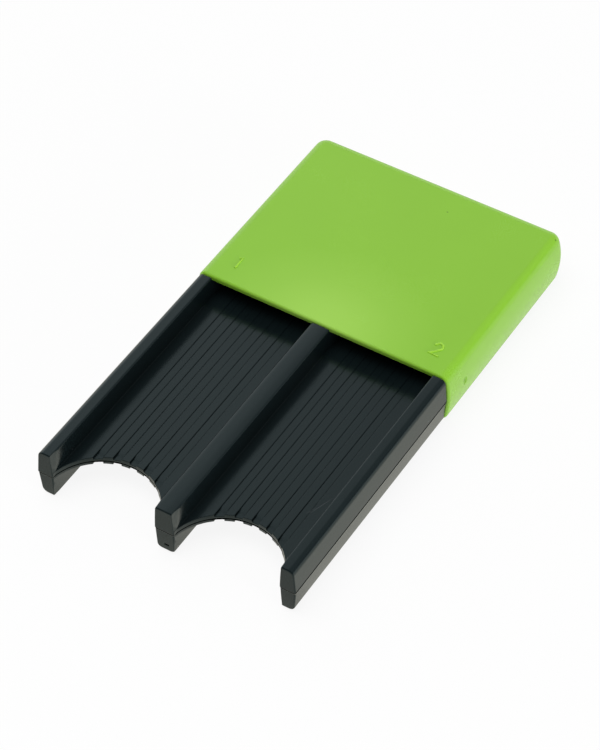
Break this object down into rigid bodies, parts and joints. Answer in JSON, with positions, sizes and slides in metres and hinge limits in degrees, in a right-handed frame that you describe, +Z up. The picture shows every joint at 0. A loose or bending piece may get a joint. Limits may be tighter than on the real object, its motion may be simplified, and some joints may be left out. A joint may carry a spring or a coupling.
{
  "type": "reed guard",
  "caption": "Flat pocket case for woodwind reeds: a two-sided ribbed tray with round finger notches and a closed slide-on sleeve.",
  "frame": {"origin": "under the middle of the closed guard, on the flat underside of the sleeve", "axes": "+Y runs along the guard from the tray's open end to the sleeve's closed end, +X across it to the right, +Z up out of the upper channels"},
  "size_m": [0.0412, 0.074, 0.0086],
  "materials": {
    "tray_plastic": "fine satin moulded plastic, charcoal",
    "sleeve_plastic": "semi-gloss moulded plastic, leaf green"
  },
  "bodies": {
    "tray": {"tray": "tray_plastic"},
    "sleeve": {"sleeve": "sleeve_plastic"}
  },
  "joints": [
    {"name": "sleeve_slide", "type": "slide", "parent": "tray", "child": "sleeve", "axis": [0, 1, 0], "range_m": [0, 0.036]}
  ]
}
